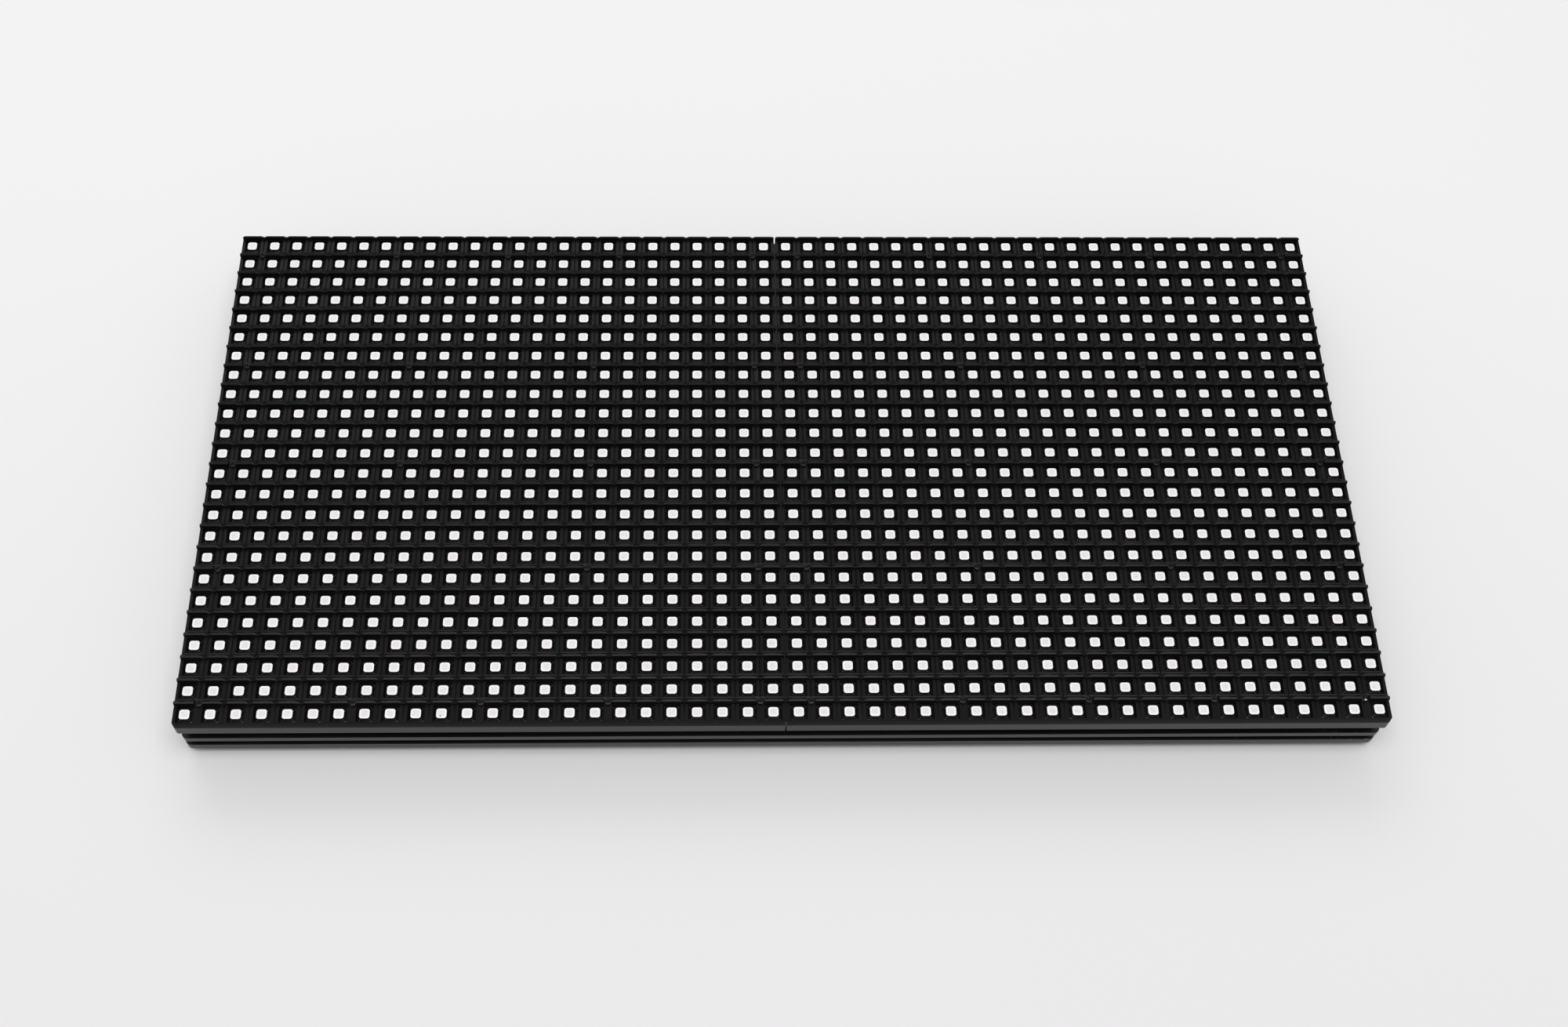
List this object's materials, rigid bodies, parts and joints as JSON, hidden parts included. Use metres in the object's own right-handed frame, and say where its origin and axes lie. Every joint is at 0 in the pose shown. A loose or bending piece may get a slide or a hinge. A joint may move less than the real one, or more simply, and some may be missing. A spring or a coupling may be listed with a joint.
{
  "type": "led display module",
  "caption": "Flat rectangular LED display module with a louvred black mask over a grid of square white lamps, on a moulded rear case with threaded inserts.",
  "frame": {"origin": "on the surface the four locating posts stand on, under the middle of the module", "axes": "+X along the long side of the display, +Y towards its upper edge, +Z out of the display face"},
  "size_m": [0.3194, 0.1596, 0.0212],
  "materials": {
    "mask_plastic": "fine moulded texture, matte black",
    "lamp_resin": "satin white package with a clear resin face",
    "board_laminate": "dark green solder mask",
    "case_plastic": "satin moulded black",
    "seal_rubber": "dull grey-black silicone",
    "screw_steel": "black oxide",
    "insert_brass": "turned",
    "header_plastic": "moulded black",
    "pin_gold": "gold flash",
    "power_plastic": "natural nylon",
    "pin_tin": "tin plate",
    "chip_epoxy": "moulded epoxy",
    "ceramic_body": "fired ceramic with tinned ends",
    "resistor_body": "glazed",
    "can_aluminium": "drawn can"
  },
  "bodies": {
    "root": {"mask_left": "mask_plastic", "mask_right": "mask_plastic", "leds_left": "lamp_resin", "leds_right": "lamp_resin", "circuit_board": "board_laminate", "rear_case": "case_plastic", "rear_seal": "seal_rubber", "mask_screws": "screw_steel", "threaded_inserts": "insert_brass", "data_in_shroud": "header_plastic", "data_in_pins": "pin_gold", "data_out_shroud": "header_plastic", "data_out_pins": "pin_gold", "power_housing": "power_plastic", "power_pins": "pin_tin", "driver_chips": "chip_epoxy", "buffer_chips": "chip_epoxy", "row_switch_chips": "chip_epoxy", "row_decoder_chip": "chip_epoxy", "chip_capacitors": "ceramic_body", "chip_resistors": "resistor_body", "bulk_capacitors": "can_aluminium"}
  },
  "joints": []
}
